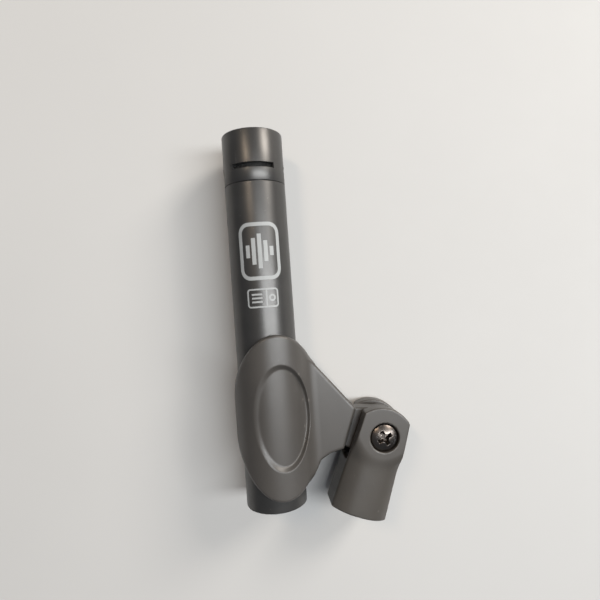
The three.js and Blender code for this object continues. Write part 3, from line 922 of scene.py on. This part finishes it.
def base_shape(x, y, z):
    """Two flat ears on an arched socket, with recesses for the screw head and the nut."""
    q = -y
    ahead = FLAT_END - q
    rise = ARCH_RISE * 0.5 * (ahead + np.sqrt(ahead ** 2 + ARCH_EASE ** 2))
    arch = np.hypot(x, np.abs(z) + ARCH_DROP) - ARCH_R - rise
    solid = both(np.abs(z) - EAR_HALF, arch, 1.2)
    left_over = (BASE_END - q) / (BASE_END - CROWN_Q)
    middle_x = CROWN_X * left_over
    sides = np.abs(x - middle_x) - (BASE_HALF - SIDE_TAPER * left_over)
    crown = np.hypot(x - CROWN_X, np.minimum(q - CROWN_Q, 0)) - CROWN_R
    outline = both(sides, crown, 0.4)
    solid = both(solid, outline, 0.6)
    solid = both(solid, q - BASE_END, 0.7)
    gap = both(np.abs(z) - EAR_GAP_HALF, q - EAR_SLOT_END, 1.6)
    solid = without(solid, gap, 0.6)
    middle = np.hypot(x, y)
    solid = without(solid, both(middle - RECESS_R, RECESS_FLOOR - z, 0.3), 0.5)
    solid = without(solid, both(hexagon(x, y, NUT_POCKET_HALF), z + RECESS_FLOOR, 0.3), 0.5)
    solid = without(solid, middle - HOLE_R, 0.3)
    bore = both(np.hypot(x, z) - SOCKET_BORE_R, SOCKET_BORE_TOP - q, 0.3)
    return without(solid, bore, 0.4)


def swivel_base():
    low, high = (-10.8, -29.9, -10.6), (10.8, 10.4, 10.6)
    piece = moulded("swivel_moulding", base_shape, low, high, 0.3, SWIVEL)
    return join_in(piece, "swivel", "base_plastic", "swivel_base")


def screw_shape(x, y, z):
    """Pan head with a tapered cross recess, on a plain shank."""
    across = np.hypot(x, y)
    under = RECESS_FLOOR + 0.3
    dome = np.sqrt(x * x + y * y + (z - HEAD_DOME_Z) ** 2) - HEAD_DOME_R
    head = both(both(across - HEAD_R, dome, 0.45), under - z, 0.2)
    u = x * math.cos(SCREW_TURN) + y * math.sin(SCREW_TURN)
    v = y * math.cos(SCREW_TURN) - x * math.sin(SCREW_TURN)
    rise = np.maximum(z - CROSS_FLOOR, 0)
    wide, far = 0.45 + rise * 0.09, 1.5 + rise * 0.58
    arms = np.minimum(both(np.abs(u) - wide, np.abs(v) - far, 0.15),
                      both(np.abs(v) - wide, np.abs(u) - far, 0.15))
    cross = np.minimum(arms, across - 0.85 - rise * 0.22)
    head = without(head, both(cross, CROSS_FLOOR - z, 0.1), 0.18)
    shank = both(across - SHANK_R, np.abs(z - SHANK_MIDDLE) - SHANK_HALF, 0.4)
    return either(head, shank, 0.3)


def pivot_screw():
    low, high = (-4.8, -4.8, -9.9), (4.8, 4.8, 10.6)
    piece = moulded("cross_head_screw", screw_shape, low, high, 0.13, SWIVEL)
    return join_in(piece, "swivel", "dark_nickel", "pivot_screw")


def nut_shape(x, y, z):
    """Hexagonal nut with turned corners and a bored middle."""
    across = np.hypot(x, y)
    depth = np.abs(z - NUT_MIDDLE) - NUT_HALF_DEEP
    solid = both(hexagon(x, y, NUT_HALF), depth, 0.15)
    solid = both(solid, across - NUT_TURNED_R + np.maximum(depth + 0.5, 0) * 1.2, 0.15)
    return without(solid, across - HOLE_R, 0.35)


def pivot_nut():
    piece = moulded("hex_nut", nut_shape, (-4.7, -4.7, -9.8), (4.7, 4.7, -7.0), 0.15, SWIVEL)
    return join_in(piece, "swivel", "dark_nickel", "pivot_nut")


def thread_insert():
    """Brass sleeve with a real helical thread inside and a plain outside."""
    top, end = -SOCKET_BORE_TOP - 0.4, -BASE_END + 0.3
    count, per_turn = 96, 10
    rows = int((top - end) / THREAD_PITCH * per_turn)
    y = np.linspace(end, top, rows + 1)
    angle = 2 * math.pi * np.arange(count) / count
    phase = (y[None, :] / THREAD_PITCH - angle[:, None] / (2 * math.pi)) % 1.0
    groove = 1 - np.abs(2 * phase - 1)
    fade = np.clip(np.minimum(y - end - 0.3, top - y - 0.3) / THREAD_PITCH, 0, 1)
    inner_r = INSERT_IN_R + THREAD_DEEP * np.clip(groove * 1.3 - 0.15, 0, 1) * fade
    flare = np.clip((end + 0.5 - y) / 0.5, 0, 1) * THREAD_DEEP
    inner_r = np.maximum(inner_r, INSERT_IN_R + flare)
    bevel = 0.25
    outer_r = np.array([INSERT_R - bevel, INSERT_R, INSERT_R, INSERT_R - bevel])
    outer_y = np.array([top, top - bevel, end + bevel, end])
    radius = np.concatenate([inner_r, np.tile(outer_r, (count, 1))], 1)
    height = np.concatenate([np.tile(y, (count, 1)), np.tile(outer_y, (count, 1))], 1)
    size = radius.shape[1]
    points = np.stack([radius * np.cos(angle)[:, None], height,
                       radius * np.sin(angle)[:, None]], -1).reshape(-1, 3)
    faces = [quad[1:] + quad[:1] for quad in ring_quads(count, size)]
    piece = new_piece("stand_insert", points, faces, SWIVEL, crease=50)
    return join_in(piece, "swivel", "brass", "thread_insert")


def washers():
    """Two thin washers with rounded rims between the tongue and the ears."""
    for name, node, z0, z1 in (
            ("upper_washer", "friction_washer_upper", WASHER_FROM, WASHER_TO),
            ("lower_washer", "friction_washer_lower", -WASHER_TO, -WASHER_FROM)):
        profile = rounded([(HOLE_R, z0), (WASHER_R, z0), (WASHER_R, z1), (HOLE_R, z1)], 0.2, 3)
        points, faces = revolved(profile, 96)
        upright = points[:, [0, 2, 1]] * np.array([1, -1, 1])
        piece = new_piece(name, upright, faces, SWIVEL)
        join_in(piece, "swivel", "washer_nylon", node)


# ---- Assembly -------------------------------------------------------------------------------

def dress_inner_nodes():
    """The inner pieces keep their shape and get their own finishes."""
    slots = {entry["node"]: entry["material_slot"] for entry in frame["record"]["subparts"]}
    for name, piece in frame["nodes"].items():
        for holder in piece.material_slots:
            holder.material = FINISHES[slots[name]]


def build_object():
    dress_inner_nodes()
    head_shell()
    front_mesh()
    vent_mesh()
    body_tube()
    seam_collar()
    socket_moulding()
    plug_pins()
    printed_marks()
    clip_body()
    swivel_base()
    pivot_screw()
    pivot_nut()
    thread_insert()
    washers()


# ---- Floor, light and camera ------------------------------------------------------------------

def floor():
    mesh = bpy.data.meshes.new("floor")
    half = 1.5
    corners = [(-half, -half, 0), (half, -half, 0), (half, half, 0), (-half, half, 0)]
    mesh.from_pydata(corners, [], [(0, 1, 2, 3)])
    piece = bpy.data.objects.new("floor", mesh)
    bpy.context.scene.collection.objects.link(piece)
    surface = finish("pale_floor", colour(0.48, 0.475, 0.465), colour(0.46, 0.455, 0.445), 0.0,
                     0.7, grain=400.0, grain_deep=0.01, drift=6.0)
    mesh.materials.append(surface)


def soft_light(name, place, size, watts, tint):
    """A rectangular lamp that points at the middle of the floor."""
    data = bpy.data.lights.new(name, "AREA")
    data.shape = "RECTANGLE"
    data.size, data.size_y = size
    data.energy = watts
    data.color = tint
    lamp = bpy.data.objects.new(name, data)
    lamp.location = place
    lamp.rotation_euler = (Vector() - Vector(place)).to_track_quat("-Z", "Y").to_euler()
    bpy.context.scene.collection.objects.link(lamp)


def studio():
    world = bpy.data.worlds.new("studio")
    world.use_nodes = True
    sky = world.node_tree.nodes["Background"]
    sky.inputs["Color"].default_value = colour(0.8, 0.88, 1.0)
    sky.inputs["Strength"].default_value = 0.16
    bpy.context.scene.world = world
    soft_light("window", (0.5, 0.0, 1.0), (0.17, 1.1), 14, (0.95, 0.98, 1.0))
    soft_light("high_side", (1.05, 0.85, 0.75), (0.5, 0.5), 19, (1.0, 0.93, 0.85))
    soft_light("warm_lamp", (-0.4, 0.55, 1.0), (0.1, 0.34), 3, (1.0, 0.8, 0.6))


# Camera. CAMERA_UP is in metres. CAMERA_X, across from the microphone's axis, and CAMERA_T,
# behind its front, are in millimetres.
LENS = 27.36
CAMERA_UP = 0.168
CAMERA_X = 13.6
CAMERA_T = 60.8
CAMERA_TURN = math.radians(-4.07)


def camera():
    data = bpy.data.cameras.new("camera")
    data.lens = LENS
    data.sensor_width = 36.0
    data.clip_start = 0.005
    eye = bpy.data.objects.new("camera", data)
    above = CLIP @ Vector((0, FRONT_Y - CAMERA_T, 0))
    eye.location = above + Vector((CAMERA_X * MM, 0, CAMERA_UP))
    eye.rotation_euler = (0, 0, CAMERA_TURN)
    bpy.context.scene.collection.objects.link(eye)
    bpy.context.scene.camera = eye


build_object()
floor()
studio()
camera()
bpy.context.scene.view_settings.view_transform = "Standard"
